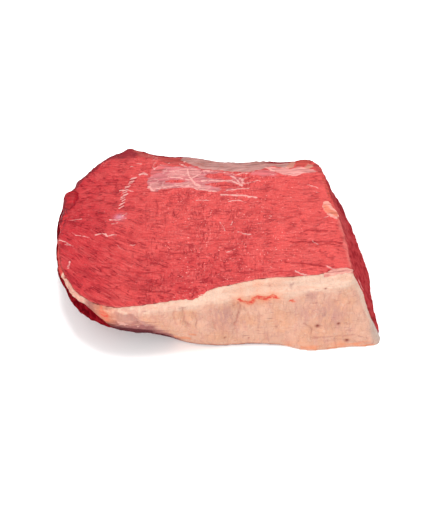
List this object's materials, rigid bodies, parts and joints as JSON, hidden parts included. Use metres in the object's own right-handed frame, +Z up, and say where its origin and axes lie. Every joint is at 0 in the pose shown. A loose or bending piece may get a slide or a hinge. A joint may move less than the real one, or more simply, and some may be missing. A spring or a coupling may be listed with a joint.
{
  "type": "raw beef silverside joint",
  "caption": "Raw beef silverside joint: a thick boneless slab of red lean with a cap of pale fat along one side, resting on its lower cut face.",
  "frame": {"origin": "centre of the footprint, on the surface that the joint rests on", "axes": "+X to the sloping right end cut, -Y to the side with the fat cap, +Z up from the lower cut face"},
  "size_m": [0.2324, 0.1598, 0.0626],
  "materials": {
    "lean": "moist cut beef, bright red with fine pale grain and pale sinew",
    "fat": "waxy creamy pink fat, slightly moist",
    "dark_lean": "moist dark red muscle"
  },
  "bodies": {
    "root": {"lean": "lean", "fat_cap": "fat", "outer_muscle": "dark_lean"}
  },
  "joints": []
}
